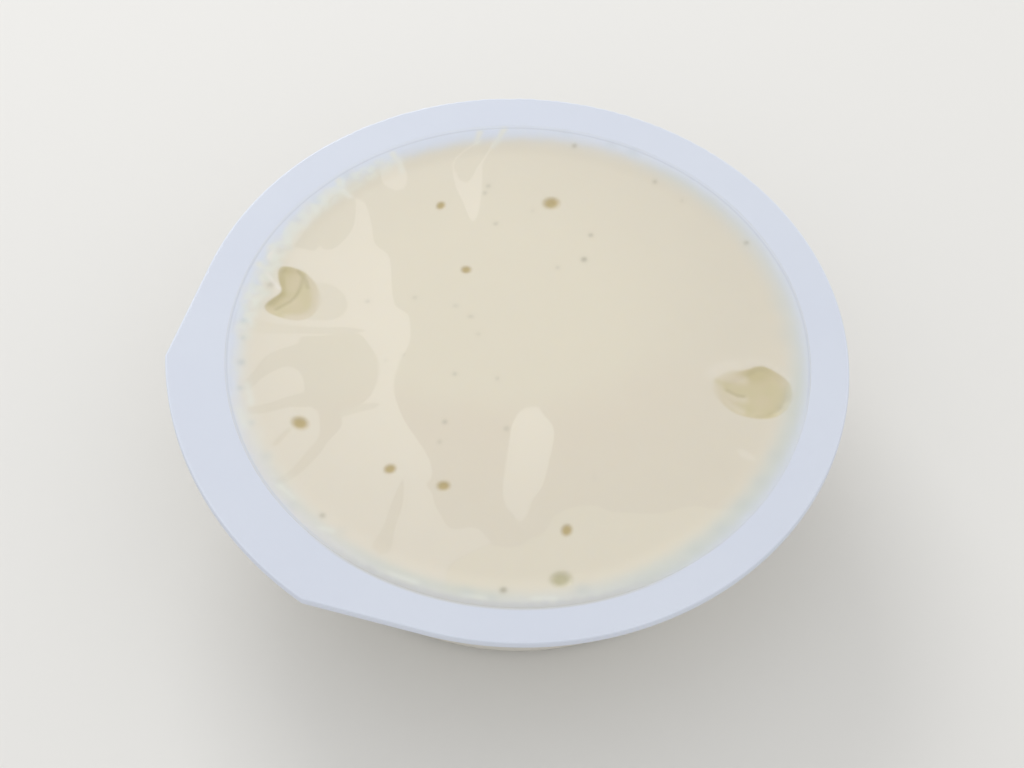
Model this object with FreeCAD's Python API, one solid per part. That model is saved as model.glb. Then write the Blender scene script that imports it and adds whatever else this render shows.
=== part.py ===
"""Sealed dessert cup: a white flanged cup, the mousse that fills it and the clear film over its mouth.

Millimetres, +Z up. The origin is the middle of the base, and the cup's axis is Z.
The rim is a flat flange, drawn out on one side into an opening tab. The mousse has two
shallow hollows where air is trapped under the film, and some burst bubbles.
"""

import FreeCAD
import Part
import math
import os

# Rim: a flat flange with an opening tab
flange_diameter = 84.0
flange_width = 5.1
flange_thickness = 1.1
flange_edge_round = 0.2
mouth_edge_round = 0.2
tab_direction = 210.0  # degrees from +X to the middle of the tab
tab_half_span = 26.5  # degrees from the middle of the tab to each of its corners
tab_corner_reach = 2.65  # how far the corners stand out past the flange circle
tab_middle_reach = 2.3
tab_corner_round = 1.2

# Body of the cup, down to its base
cup_height = 22.0
wall_thickness = 0.7
wall_draft = 5.5  # degrees from upright
ledge_depth = 0.6  # step from the flange's top down to the shoulder
ledge_width = 0.4
shoulder_radius = 4.0  # inside the cup
base_corner_radius = 2.2  # outside the cup
foot_width = 2.6  # flat ring that the cup stands on
base_disc_radius = 12.0  # flat middle of the base
groove_depth = 0.6  # stiffening groove between the disc and the foot
groove_flank_width = 0.8
groove_round = 0.6

# Mousse
mousse_clearance = 0.15
edge_cover = 0.1  # thickness of the mousse where it ends, over the ledge
# Hollows in the mousse's surface: direction, share of the surface radius, turn, length, width, depth
air_hollows = [
    (164.2, 0.830, 96.0, 8.3, 6.8, 1.2),
    (-7.3, 0.808, 4.0, 9.4, 7.6, 1.3),
]
burst_bubbles = [
    (81.9, 0.672, 10.0, 2.3, 2.0, 0.85),
    (115.3, 0.700, 60.0, 1.4, 1.2, 0.50),
    (119.0, 0.404, 0.0, 1.4, 1.2, 0.50),
    (203.6, 0.795, 150.0, 2.2, 1.9, 0.80),
    (229.5, 0.640, 30.0, 1.6, 1.3, 0.55),
    (247.1, 0.593, 90.0, 1.7, 1.5, 0.60),
    (284.9, 0.720, 45.0, 1.7, 1.5, 0.60),
    (281.0, 0.900, 15.0, 2.5, 2.1, 0.90),
]

# Clear film
film_thickness = 0.1
film_inset = 0.25  # from the flange's edge to the film's edge
film_gap = 0.05  # between the mousse and the film over it
film_slope_width = 1.2  # inside the mouth, where the film dips to the mousse
film_overlap = 1.0  # shared ring where the dipped and the flat film are joined

flange_radius = flange_diameter / 2
mouth_radius = flange_radius - flange_width
ledge_height = cup_height - ledge_depth
mousse_top = ledge_height + mousse_clearance + edge_cover
mousse_radius = mouth_radius - mousse_clearance
draft = math.radians(wall_draft)
corner_half_turn = (math.pi / 2 - draft) / 2  # half of the turn at the shoulder and at the base corner

up = FreeCAD.Vector(0, 0, 1)
origin = FreeCAD.Vector(0, 0, 0)


def polar(radius, degrees):
    """Point at a radius and a direction in the XY plane."""
    turn = math.radians(degrees)
    return FreeCAD.Vector(radius * math.cos(turn), radius * math.sin(turn), 0)


def rounded_path(corners):
    """Edges in the XZ plane through (x, z, radius) corners, with a tangent arc at each rounded one."""
    points = [FreeCAD.Vector(x, 0, z) for x, z, _ in corners]
    edges = []
    start = points[0]
    for index in range(1, len(corners) - 1):
        corner = points[index]
        radius = corners[index][2]
        entry = corner
        if radius > 0:
            back = (points[index - 1] - corner).normalize()
            ahead = (points[index + 1] - corner).normalize()
            half_angle = back.getAngle(ahead) / 2
            inward = (back + ahead).normalize()
            entry = corner + back * (radius / math.tan(half_angle))
            leave = corner + ahead * (radius / math.tan(half_angle))
            nearest = corner + inward * (radius / math.sin(half_angle) - radius)
        edges.append(Part.makeLine(start, entry))
        start = entry
        if radius > 0:
            edges.append(Part.Arc(entry, nearest, leave).toShape())
            start = leave
    edges.append(Part.makeLine(start, points[-1]))
    return edges


def turned_solid(corners):
    """Solid of revolution about Z of the closed outline through (x, z, radius) corners."""
    outline = Part.Face(Part.Wire(rounded_path(corners + [corners[0]])))
    return outline.revolve(origin, up, 360)


def wall_radius(height, depth):
    """Radius at a height of the conical surface that lies a depth inside the cup's outer wall."""
    shoulder_corner = mouth_radius - ledge_width - shoulder_radius * math.tan(corner_half_turn)
    outer_at_ledge = shoulder_corner + wall_thickness / math.cos(draft)
    return outer_at_ledge - (ledge_height - height) * math.tan(draft) - depth / math.cos(draft)


def body_corners(depth, end_radius):
    """Corners from the axis along the base and up the wall to the ledge, a depth inside the cup's skin."""
    ledge = ledge_height - wall_thickness + depth
    corner_round = base_corner_radius - depth
    foot_outer = wall_radius(0, 0) - base_corner_radius * math.tan(corner_half_turn)
    foot_inner = foot_outer - foot_width
    return [
        (0, depth, 0),
        (base_disc_radius, depth, groove_round),
        (base_disc_radius + groove_flank_width, depth + groove_depth, groove_round),
        (foot_inner - groove_flank_width, depth + groove_depth, groove_round),
        (foot_inner, depth, groove_round),
        (wall_radius(depth, depth), depth, corner_round),
        (wall_radius(ledge, depth), ledge, shoulder_radius - wall_thickness + depth),
        (end_radius, ledge, 0),
    ]


def plan_outline(inset):
    """Face of the flange and its tab seen from above, drawn an inset inside the flange's edge.

    Each side of the tab is a straight line from the flange circle's tangent to a rounded
    corner, and its outer edge is a shallow arc between the corners.
    """
    corner_radius = flange_radius + tab_corner_reach
    tangent_span = tab_half_span + math.degrees(math.acos(flange_radius / corner_radius))
    tangent_a = polar(flange_radius, tab_direction - tangent_span)
    corner_a = polar(corner_radius, tab_direction - tab_half_span)
    tab_middle = polar(flange_radius + tab_middle_reach, tab_direction)
    corner_b = polar(corner_radius, tab_direction + tab_half_span)
    tangent_b = polar(flange_radius, tab_direction + tangent_span)
    far_side = polar(flange_radius, tab_direction + 180)
    edges = [
        Part.makeLine(tangent_a, corner_a),
        Part.Arc(corner_a, tab_middle, corner_b).toShape(),
        Part.makeLine(corner_b, tangent_b),
        Part.Arc(tangent_b, far_side, tangent_a).toShape(),
    ]
    core = Part.Face(Part.Wire(edges)).makeOffset2D(-tab_corner_round)
    return core.makeOffset2D(tab_corner_round - inset)


def flat_plate(inset, bottom, thickness):
    """Flat plate of the flange's plan, drawn in by an inset."""
    plate = plan_outline(inset).extrude(up * thickness)
    plate.translate(up * bottom)
    return plate


def mouth_cutter(radius, bottom, thickness):
    """Disc that opens a flat plate over the cup's mouth."""
    return Part.makeCylinder(radius, thickness, up * bottom, up)


def make_cup():
    """Flange plate with rounded edges, joined to the turned body."""
    bottom = cup_height - flange_thickness
    plate = flat_plate(0, bottom, flange_thickness)
    rim_edges = [edge for edge in plate.Edges if edge.BoundBox.ZLength < flange_thickness / 2]
    plate = plate.makeFillet(flange_edge_round, rim_edges)
    flange = plate.cut(mouth_cutter(mouth_radius + wall_thickness / 2, bottom, flange_thickness))
    outside = body_corners(0, mouth_radius + wall_thickness)
    mouth = [
        (mouth_radius + wall_thickness, cup_height, 0),
        (mouth_radius, cup_height, mouth_edge_round),
        (mouth_radius, ledge_height, 0),
    ]
    inside = body_corners(wall_thickness, mouth_radius)[:-1]
    body = turned_solid(outside + mouth + inside[::-1])
    return flange.fuse(body).removeSplitter()


def hollow_cutter(direction, share, turn, length, width, depth):
    """Long round-ended cutter whose lowest part sinks to a depth below the mousse's surface.

    It is a rod with ball ends lying level, with its middle above the surface.
    """
    radius = ((width / 2) ** 2 + depth ** 2) / (2 * depth)
    half_rod = (length - width) / 2
    diagonal = radius * math.sqrt(0.5)
    tip = FreeCAD.Vector(half_rod + radius, 0, 0)
    bend = FreeCAD.Vector(half_rod + diagonal, diagonal, 0)
    crest = FreeCAD.Vector(half_rod, radius, 0)
    far_crest = FreeCAD.Vector(-half_rod, radius, 0)
    far_bend = FreeCAD.Vector(-half_rod - diagonal, diagonal, 0)
    far_tip = FreeCAD.Vector(-half_rod - radius, 0, 0)
    outline = [
        Part.Arc(tip, bend, crest).toShape(),
        Part.makeLine(crest, far_crest),
        Part.Arc(far_crest, far_bend, far_tip).toShape(),
        Part.makeLine(far_tip, tip),
    ]
    cutter = Part.Face(Part.Wire(outline)).revolve(origin, FreeCAD.Vector(1, 0, 0), 360)
    cutter.rotate(origin, up, turn)
    cutter.translate(polar(mousse_radius * share, direction) + up * (mousse_top + radius - depth))
    return cutter


def make_mousse():
    """Filling up to just under the film, with the hollows of trapped air and burst bubbles."""
    skin = body_corners(wall_thickness + mousse_clearance, mousse_radius)
    mousse = turned_solid(skin + [(mousse_radius, mousse_top, 0), (0, mousse_top, 0)])
    return mousse.cut([hollow_cutter(*hollow) for hollow in air_hollows + burst_bubbles])


def make_lid_film():
    """Film lying on the flange and dipping just inside the mouth to lie on the mousse."""
    plate = flat_plate(film_inset, cup_height, film_thickness)
    flat_film = plate.cut(mouth_cutter(mouth_radius + film_overlap / 2, cup_height, film_thickness))
    flat_radius = mouth_radius - film_slope_width
    dip = mousse_top + film_gap
    underside = [
        (0, dip, 0),
        (flat_radius, dip, 0),
        (mouth_radius, cup_height, 0),
        (mouth_radius + film_overlap, cup_height, 0),
    ]
    top = [(x, z + film_thickness, radius) for x, z, radius in underside]
    dipped = turned_solid(underside + top[::-1])
    return flat_film.fuse(dipped).removeSplitter()


nodes = {
    "cup": make_cup(),
    "mousse": make_mousse(),
    "lid_film": make_lid_film(),
}

os.makedirs("parts", exist_ok=True)
for name, shape in nodes.items():
    shape.exportStep("parts/" + name + ".step")
    print(name, "solids", len(shape.Solids), "valid", shape.isValid(), "volume", round(shape.Volume, 1))
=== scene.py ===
"""Sealed cup of cheese mousse: the looks of its three solids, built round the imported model.

The cup, the mousse and the clear film are surfaces worked out as arrays. Lengths in this
file are in millimetres until a mesh is made, and the frame's metres are turned into them
once. Angles are in degrees from +X, turning towards +Y.
"""

import math

import bpy
import numpy as np
from mathutils import Matrix, Vector


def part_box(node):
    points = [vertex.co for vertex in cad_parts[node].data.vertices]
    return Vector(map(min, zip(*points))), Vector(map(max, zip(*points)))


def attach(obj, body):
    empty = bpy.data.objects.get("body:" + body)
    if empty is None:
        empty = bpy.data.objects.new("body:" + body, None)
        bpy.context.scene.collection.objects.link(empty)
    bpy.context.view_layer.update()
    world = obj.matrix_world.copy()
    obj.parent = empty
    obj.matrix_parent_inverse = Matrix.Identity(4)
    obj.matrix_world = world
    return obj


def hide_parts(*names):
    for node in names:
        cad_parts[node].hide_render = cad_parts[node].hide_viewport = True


bl_info = {
    "name": "Mousse Cup",
    "version": (1, 0, 0),
    "blender": (4, 5, 0),
    "location": "3D View > Sidebar > Mousse Cup",
    "description": "Builds the cup, the mousse, the sealed film and the stage round the packed solids",
    "category": "Object",
}

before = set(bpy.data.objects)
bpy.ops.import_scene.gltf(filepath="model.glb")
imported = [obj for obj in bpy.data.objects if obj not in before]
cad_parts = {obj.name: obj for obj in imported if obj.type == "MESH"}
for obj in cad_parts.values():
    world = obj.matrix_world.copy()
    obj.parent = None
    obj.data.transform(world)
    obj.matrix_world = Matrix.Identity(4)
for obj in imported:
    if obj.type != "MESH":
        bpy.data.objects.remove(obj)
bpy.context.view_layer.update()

MM = 0.001


def box_mm(node):
    """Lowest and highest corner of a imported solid, in millimetres."""
    low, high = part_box(node)
    return np.array(low) / MM, np.array(high) / MM


cup_high = box_mm("cup")[1]
mousse_high = box_mm("mousse")[1]
film_low, film_high = box_mm("lid_film")

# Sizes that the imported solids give
FLANGE_RADIUS = cup_high[1]
CUP_HEIGHT = cup_high[2]
MOUSSE_TOP = mousse_high[2]
FILM_TOP = film_high[2]
FILM_DIP = film_low[2]

# Sizes that the solids were made with
FLANGE_WIDTH = 5.1
FLANGE_THICKNESS = 1.1
FLANGE_EDGE_ROUND = 0.2
MOUTH_EDGE_ROUND = 0.2
TAB_DIRECTION = 210.0
TAB_HALF_SPAN = 26.5
TAB_CORNER_REACH = 2.65
TAB_MIDDLE_REACH = 2.3
TAB_CORNER_ROUND = 1.2
WALL_THICKNESS = 0.7
WALL_DRAFT = 5.5
LEDGE_DEPTH = 0.6
LEDGE_WIDTH = 0.4
SHOULDER_RADIUS = 4.0
BASE_CORNER_RADIUS = 2.2
FOOT_WIDTH = 2.6
BASE_DISC_RADIUS = 12.0
GROOVE_DEPTH = 0.6
GROOVE_FLANK = 0.8
GROOVE_ROUND = 0.6
FILM_INSET = 0.25

FILM_SEAT = 0.02  # over the flange, so that the two faces don't fall together
FILM_EDGE_THICKNESS = 0.01  # where the seal has pressed it into the flange
FILM_SLOPE_WIDTH = 4.5  # the dip inside the mouth, drawn gentler than the solid's
SLOPE_REACH = 0.2  # how far past the mouth the dip starts

SKIN_INSET = 0.03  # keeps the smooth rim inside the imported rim's flat facets
WALL_REACH = 0.2  # how far the mousse goes over the mouth's rounding, so that no gap shows
BRIM_HEIGHT = 0.005  # of the mousse over the flange there
BURR_HEIGHT = 0.12  # of the cut edge at the far side
BURR_SPACING = 1.1
BURR_START = 0.6  # how far back the burrs start, and where they are full, as a share of the radius
BURR_FULL = 0.9
NARROW = 0.04  # row of faces beside a sharp corner, which keeps the smooth shading off the rest
SHELF_MARGIN = 0.15  # from a rounding or a wall to the first flat ring beside it
FLAT_INSET = 1.0  # of the last flat ring on the flange
CUP_FINENESS = 4.0  # steps in a rounding of 1 mm
MOUSSE_FINENESS = 2.4  # hidden under the surface
FLANGE_STEPS = 520  # round the circle
TAB_STEPS = 90
TAB_CORNER_STEPS = 10
TAB_SIDE_STEPS = 22
FLANGE_ROUND_STEPS = 5
MOUTH_ROUND_STEPS = 4
POLE_RADIUS = BASE_DISC_RADIUS / 6  # of the first ring round the axis
FIELD_REACH = 2.0  # distances to marks are held to this
WAVE_SPREAD = (0.7, 1.5)  # least and greatest length of the waves in a relief, as shares of its spacing
TINY = 1e-9  # keeps a division from falling to 0
MOUTH_RADIUS = FLANGE_RADIUS - FLANGE_WIDTH
LEDGE_HEIGHT = CUP_HEIGHT - LEDGE_DEPTH
DRAFT = math.radians(WALL_DRAFT)
CORNER_HALF_TURN = (math.pi / 2 - DRAFT) / 2


# ---------------------------------------------------------------- curves and fields


def directions(degrees):
    """Unit vectors in the plan at an array of angles."""
    turn = np.radians(degrees)
    return np.stack([np.cos(turn), np.sin(turn)], axis=-1)


def arc(centre, radius, start, end, steps):
    """Points of a circular arc, both ends included, from one angle to another about a centre."""
    return np.asarray(centre, float) + radius * directions(np.linspace(start, end, steps + 1))


def rounded_profile(corners, fineness):
    """Points through (radius, height, round) corners, each rounded one turned into a tangent arc.

    An arc's steps grow as the square root of its radius, which keeps the chords alike in error.
    """
    spots = np.array([corner[:2] for corner in corners], float)
    pieces = [spots[:1]]
    for index in range(1, len(corners) - 1):
        corner = spots[index]
        bend = corners[index][2]
        if bend == 0:
            pieces.append(corner[None])
            continue
        back = spots[index - 1] - corner
        ahead = spots[index + 1] - corner
        back /= np.linalg.norm(back)
        ahead /= np.linalg.norm(ahead)
        half_angle = math.acos(float(back @ ahead)) / 2
        inward = (back + ahead) / np.linalg.norm(back + ahead)
        centre = corner + inward * bend / math.sin(half_angle)
        steps = math.ceil(fineness * math.sqrt(bend))
        entry = corner + back * bend / math.tan(half_angle) - centre
        leave = corner + ahead * bend / math.tan(half_angle) - centre
        share = np.linspace(0, 1, steps + 1)[:, None]
        turn = math.acos(float(np.clip(entry @ leave / bend ** 2, -1, 1)))
        sweep = (np.sin((1 - share) * turn) * entry + np.sin(share * turn) * leave) / math.sin(turn)
        pieces.append(centre + sweep)
    pieces.append(spots[-1:])
    return np.concatenate(pieces)


def closed_curve(points, steps=6):
    """Smooth closed curve through given points: a Catmull-Rom spline, sampled evenly per span."""
    spots = np.array(points, float)
    before = np.roll(spots, 1, axis=0)
    after = np.roll(spots, -1, axis=0)
    beyond = np.roll(spots, -2, axis=0)
    share = (np.arange(steps) / steps)[None, :, None]
    p0, p1, p2, p3 = (a[:, None, :] for a in (before, spots, after, beyond))
    curve = 0.5 * (
        2 * p1
        + (p2 - p0) * share
        + (2 * p0 - 5 * p1 + 4 * p2 - p3) * share ** 2
        + (3 * p1 - p0 - 3 * p2 + p3) * share ** 3
    )
    return curve.reshape(-1, 2)


def segment_distance(plan, starts, ends):
    """Distance from each plan point to the nearest of the straight segments."""
    run = ends - starts
    offset = plan[:, None, :] - starts[None]
    share = (offset * run[None]).sum(-1) / np.maximum((run ** 2).sum(-1), TINY)
    nearest = offset - np.clip(share, 0, 1)[..., None] * run[None]
    return np.sqrt((nearest ** 2).sum(-1).min(axis=1))


def near(plan, low, high):
    """Which plan points lie within the field's reach of a box."""
    return np.all((plan > low - FIELD_REACH) & (plan < high + FIELD_REACH), axis=1)


def inside_distance(plan, outline):
    """Signed distance to a closed outline, positive inside it and held to the field's reach.

    A point is inside where a ray from it along +X crosses the outline an odd number of times.
    """
    ring = closed_curve(outline)
    following = np.roll(ring, -1, axis=0)
    signed = np.full(len(plan), -FIELD_REACH)
    chosen = near(plan, ring.min(axis=0), ring.max(axis=0))
    spots = plan[chosen]
    straddles = (ring[None, :, 1] > spots[:, None, 1]) != (following[None, :, 1] > spots[:, None, 1])
    rise = following[:, 1] - ring[:, 1]
    slope = (following[:, 0] - ring[:, 0]) / np.where(rise == 0, TINY, rise)
    crossing = ring[None, :, 0] + (spots[:, None, 1] - ring[None, :, 1]) * slope[None]
    odd = (straddles & (spots[:, None, 0] < crossing)).sum(axis=1) % 2 == 1
    reach = segment_distance(spots, ring, following)
    signed[chosen] = np.clip(np.where(odd, reach, -reach), -FIELD_REACH, FIELD_REACH)
    return signed


def line_distance(plan, points):
    """Distance to an open line through given points, held to the field's reach."""
    line = np.array(points, float)
    distance = np.full(len(plan), FIELD_REACH)
    chosen = near(plan, line.min(axis=0), line.max(axis=0))
    distance[chosen] = np.minimum(segment_distance(plan[chosen], line[:-1], line[1:]), FIELD_REACH)
    return distance


def union(plan, outlines):
    """Signed distance to the nearest of several outlines."""
    return np.max([inside_distance(plan, outline) for outline in outlines], axis=0)


def smooth_step(value, low, high):
    """0 below low, 1 above high and an even S between them."""
    share = np.clip((value - low) / (high - low), 0, 1)
    return share * share * (3 - 2 * share)


def waves(plan, spacing, seed, count=9):
    """Gentle random relief between -1 and 1: a sum of plane waves of about one spacing."""
    generator = np.random.default_rng(seed)
    heading = directions(generator.uniform(0, 360, count))
    pitch = 2 * math.pi / (spacing * generator.uniform(*WAVE_SPREAD, count))
    phase = generator.uniform(0, 2 * math.pi, count)
    return np.sin((plan @ heading.T) * pitch + phase).sum(axis=1) / math.sqrt(count * 2)


# ---------------------------------------------------------------- plan of the rim


def plan_outline():
    """Points and outward normals of the flange's edge, once round, with its opening tab.

    The flange is a circle. Each side of the tab is the straight tangent from the circle to a
    rounded corner, and its outer edge is a shallow arc between the corners. All of it is
    convex, so every point is the centre of its arc plus that arc's radius along the normal.
    """
    radius = FLANGE_RADIUS
    corner = radius + TAB_CORNER_REACH
    crown = radius + TAB_MIDDLE_REACH
    half_span = math.radians(TAB_HALF_SPAN)
    tangent_span = TAB_HALF_SPAN + math.degrees(math.acos(radius / corner))
    tab_centre = (crown ** 2 - corner ** 2) / (2 * (crown - corner * math.cos(half_span)))
    tab_radius = crown - tab_centre
    # Along the tangent: u is the distance from the cup's axis, v the distance along the line
    centre_u = tab_centre * math.cos(math.radians(tangent_span))
    centre_v = tab_centre * math.sin(math.radians(tangent_span))
    round_u = radius - TAB_CORNER_ROUND
    round_v = centre_v + math.sqrt((tab_radius - TAB_CORNER_ROUND) ** 2 - (round_u - centre_u) ** 2)
    corner_turn = math.degrees(math.atan2(round_v - centre_v, round_u - centre_u))
    first = TAB_DIRECTION - tangent_span
    last = TAB_DIRECTION + tangent_span
    round_a = round_u * directions(first) + round_v * directions(first + 90)
    round_b = round_u * directions(last) - round_v * directions(last + 90)
    tab_middle = tab_centre * directions(TAB_DIRECTION)
    stretches = [
        (np.zeros(2), radius, last, first + 360, FLANGE_STEPS),
        (round_a, TAB_CORNER_ROUND, first, first + corner_turn, TAB_CORNER_STEPS),
        (tab_middle, tab_radius, first + corner_turn, last - corner_turn, TAB_STEPS),
        (round_b, TAB_CORNER_ROUND, last - corner_turn, last, TAB_CORNER_STEPS),
    ]
    arcs = [arc(*stretch) for stretch in stretches]
    edge = []
    facing = []
    # A straight side follows the circle and the last corner, and the arcs between them just meet
    for index, side_steps in enumerate((TAB_SIDE_STEPS, 0, 0, TAB_SIDE_STEPS)):
        normals = arc((0, 0), 1, *stretches[index][2:])
        share = np.linspace(0, 1, side_steps + 1)[:-1, None]
        side = arcs[index][-1] * (1 - share) + arcs[(index + 1) % 4][0] * share
        edge += [arcs[index][:-1], side]
        facing += [normals[:-1], np.repeat(normals[-1:], side_steps, axis=0)]
    return np.concatenate(edge), np.concatenate(facing)


EDGE, EDGE_NORMAL = plan_outline()


def burrs():
    """How far the cut edge stands back at each point: up to a burr's height at the far side."""
    towards_back = smooth_step(EDGE[:, 1] / FLANGE_RADIUS, BURR_START, BURR_FULL)
    return BURR_HEIGHT * towards_back * (0.5 + 0.5 * waves(EDGE, BURR_SPACING, seed=5))


EDGE -= burrs()[:, None] * EDGE_NORMAL
EDGE_TOWARDS = EDGE / np.linalg.norm(EDGE, axis=1, keepdims=True)


def inset_ring(inset, height):
    """Ring that follows the flange's edge, an inset inside it, at a height."""
    ring = EDGE - (inset + SKIN_INSET) * EDGE_NORMAL
    return np.column_stack([ring, np.full(len(ring), height)])


def round_ring(radius, height):
    """Circular ring about the axis at a height."""
    return np.column_stack([EDGE_TOWARDS * radius, np.full(len(EDGE), height)])


def between(first, last, steps):
    """Rings that share out the way from one ring to another, both left out."""
    share = np.linspace(0, 1, steps + 1)[1:-1, None, None]
    return list(first * (1 - share) + last * share)


# ---------------------------------------------------------------- meshes


def ring_faces(rings, around):
    """Quads between closed rings of equal length, and a fan of triangles at each end's pole."""
    index = np.arange(rings * around).reshape(rings, around) + 1
    following = np.roll(index, -1, axis=1)
    quads = np.stack([index[:-1], following[:-1], following[1:], index[1:]], axis=-1).reshape(-1, 4)
    first = np.stack([np.zeros(around, int), following[0], index[0]], axis=-1)
    last = np.stack([np.full(around, rings * around + 1), index[-1], following[-1]], axis=-1)
    return quads.tolist() + first.tolist() + last.tolist()


def make_object(name, points, faces, fields=None):
    """Smooth mesh object from points in millimetres, with one number per point for each field."""
    mesh = bpy.data.meshes.new(name)
    mesh.from_pydata((np.asarray(points) * MM).tolist(), [], faces)
    for field, values in (fields or {}).items():
        layer = mesh.attributes.new(field, "FLOAT", "POINT")
        layer.data.foreach_set("value", np.asarray(values, np.float32))
    mesh.polygons.foreach_set("use_smooth", np.ones(len(mesh.polygons), bool))
    mesh.update()
    piece = bpy.data.objects.new(name, mesh)
    bpy.context.scene.collection.objects.link(piece)
    return piece


def make_ringed(name, rings, pole_heights, fields=None):
    """Closed skin through rings, shut by a pole on the axis below the first and above the last."""
    stack = np.array(rings)
    first = [[0, 0, pole_heights[0]]]
    last = [[0, 0, pole_heights[1]]]
    points = np.concatenate([first, stack.reshape(-1, 3), last])
    return make_object(name, points, ring_faces(len(stack), stack.shape[1]), fields)


def settle(piece, node):
    """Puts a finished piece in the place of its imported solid."""
    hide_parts(node)
    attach(piece, "root")


# ---------------------------------------------------------------- the cup's section


def wall_radius(height, depth):
    """Radius at a height of the conical surface that lies a depth inside the cup's outer wall."""
    shoulder_corner = MOUTH_RADIUS - LEDGE_WIDTH - SHOULDER_RADIUS * math.tan(CORNER_HALF_TURN)
    outer_at_ledge = shoulder_corner + WALL_THICKNESS / math.cos(DRAFT)
    return outer_at_ledge - (LEDGE_HEIGHT - height) * math.tan(DRAFT) - depth / math.cos(DRAFT)


def body_corners(depth, end_radius):
    """Corners from near the axis along the base and up the wall to the ledge, a depth inside the skin."""
    ledge = LEDGE_HEIGHT - WALL_THICKNESS + depth
    foot_outer = wall_radius(0, 0) - BASE_CORNER_RADIUS * math.tan(CORNER_HALF_TURN)
    foot_inner = foot_outer - FOOT_WIDTH
    return [  # radius, height and rounding
        (POLE_RADIUS, depth, 0),
        (BASE_DISC_RADIUS, depth, GROOVE_ROUND),
        (BASE_DISC_RADIUS + GROOVE_FLANK, depth + GROOVE_DEPTH, GROOVE_ROUND),
        (foot_inner - GROOVE_FLANK, depth + GROOVE_DEPTH, GROOVE_ROUND),
        (foot_inner, depth, GROOVE_ROUND),
        (wall_radius(depth, depth), depth, BASE_CORNER_RADIUS - depth),
        (wall_radius(ledge, depth), ledge, SHOULDER_RADIUS - WALL_THICKNESS + depth),
        (end_radius, ledge, 0),
    ]


def cup_rings():
    """Rings of the cup from the middle of its underside, out round the rim and in to its floor."""
    bottom = CUP_HEIGHT - FLANGE_THICKNESS
    bend = FLANGE_EDGE_ROUND
    outside = rounded_profile(body_corners(0, MOUTH_RADIUS + WALL_THICKNESS), CUP_FINENESS)
    rings = [round_ring(radius, height) for radius, height in outside]
    under_start = round_ring(MOUTH_RADIUS + WALL_THICKNESS + SHELF_MARGIN, bottom)
    under_end = inset_ring(FLAT_INSET, bottom)
    rings += [under_start] + between(under_start, under_end, 5) + [under_end]
    lower = arc((bend, bottom + bend), bend, 270, 180, FLANGE_ROUND_STEPS)
    upper = arc((bend, CUP_HEIGHT - bend), bend, 180, 90, FLANGE_ROUND_STEPS)
    edge = [(bend + NARROW, bottom), *lower, *upper, (bend + NARROW, CUP_HEIGHT)]
    rings += [inset_ring(inset, height) for inset, height in edge]
    top_start = inset_ring(FLAT_INSET, CUP_HEIGHT)
    top_end = round_ring(MOUTH_RADIUS + MOUTH_EDGE_ROUND + SHELF_MARGIN, CUP_HEIGHT)
    rings += [top_start] + between(top_start, top_end, 6) + [top_end]
    mouth_centre = (MOUTH_RADIUS + MOUTH_EDGE_ROUND, CUP_HEIGHT - MOUTH_EDGE_ROUND)
    mouth = arc(mouth_centre, MOUTH_EDGE_ROUND, 90, 180, MOUTH_ROUND_STEPS)
    inside = rounded_profile(body_corners(WALL_THICKNESS, MOUTH_RADIUS), CUP_FINENESS)[::-1]
    rings += [round_ring(radius, height) for radius, height in (*mouth, *inside)]
    return rings


# ---------------------------------------------------------------- marks in the mousse

# Where the film stands off the mousse, the surface under it is painted paler, a painted reflection of the
# film over the air gap. Outlines in the plan.
DRY_PATCHES = [
    [  # broad band down the side of the tab
        (-24.7, 26.9), (-23.6, 25.2), (-22.4, 24.1), (-21.4, 23.6), (-20.7, 22.6), (-20.3, 21.2),
        (-19.8, 19.3), (-19.5, 17.4), (-19, 16.2), (-17.9, 15.4), (-17.2, 14.3), (-16.9, 12.4),
        (-16.5, 8.8), (-15.9, 6.7), (-14.5, 5.7), (-14, 4.3), (-13.8, 1.9), (-14.1, 0.2), (-14.9, -1.7),
        (-15.5, -5.6), (-14.6, -9), (-13.7, -11), (-12.3, -13.2), (-11.1, -15.1), (-10.3, -16.8),
        (-10, -18.7), (-10.6, -20.1), (-9.9, -21.2), (-9.5, -22.7), (-8.7, -24.2), (-7.8, -25.8),
        (-6.6, -26.3), (-5.2, -25.9), (-4, -26.1), (-3.2, -26.8), (-2.4, -28.1), (-4.2, -29.1), (-6, -30.2),
        (-7.2, -31.4), (-7.7, -33.6), (-8.6, -37.2), (-16, -34.8), (-24, -30.4), (-33, -20), (-37.6, -10),
        (-38, 4), (-35.4, 14), (-30.6, 22.6),
    ],
    [  # blob by the far wall
        (-19.2, 30.6), (-18.4, 32.4), (-17.1, 31.6), (-16.4, 30), (-15.7, 28.2), (-15.7, 26.8),
        (-16.2, 25.7), (-17.4, 25.6), (-18.8, 26.6), (-19.2, 28.4),
    ],
    [  # forked patch
        (-9.8, 30.3), (-9.5, 27.8), (-9, 26), (-8.1, 24), (-7.5, 22.3), (-6.7, 20.9), (-6.1, 22.2),
        (-5.8, 24.6), (-5.75, 27.4), (-5.9, 30.6), (-6.4, 30.2), (-6.9, 28.8), (-7.4, 27.7), (-8, 27.3),
        (-8.8, 27.9), (-9.3, 29),
    ],
    [  # long blob in the middle
        (1.6, -8), (2.7, -7.9), (3.5, -9), (4.6, -10.5), (4.9, -12.1), (4.5, -15), (4, -18), (3.4, -20),
        (2.4, -21.7), (2, -23.4), (1.5, -24.4), (0.9, -24.8), (0.3, -23.9), (-0.8, -22.5), (-1.2, -20.4),
        (-1, -16.5), (-0.7, -13.4), (-0.4, -10.8), (0.4, -8.9),
    ],
    # A small painted highlight, kept with the pale patches
    [(27.7, -12.8), (28.7, -13), (30.1, -14.2), (29.2, -14.5), (28, -13.8)],
]
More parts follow.
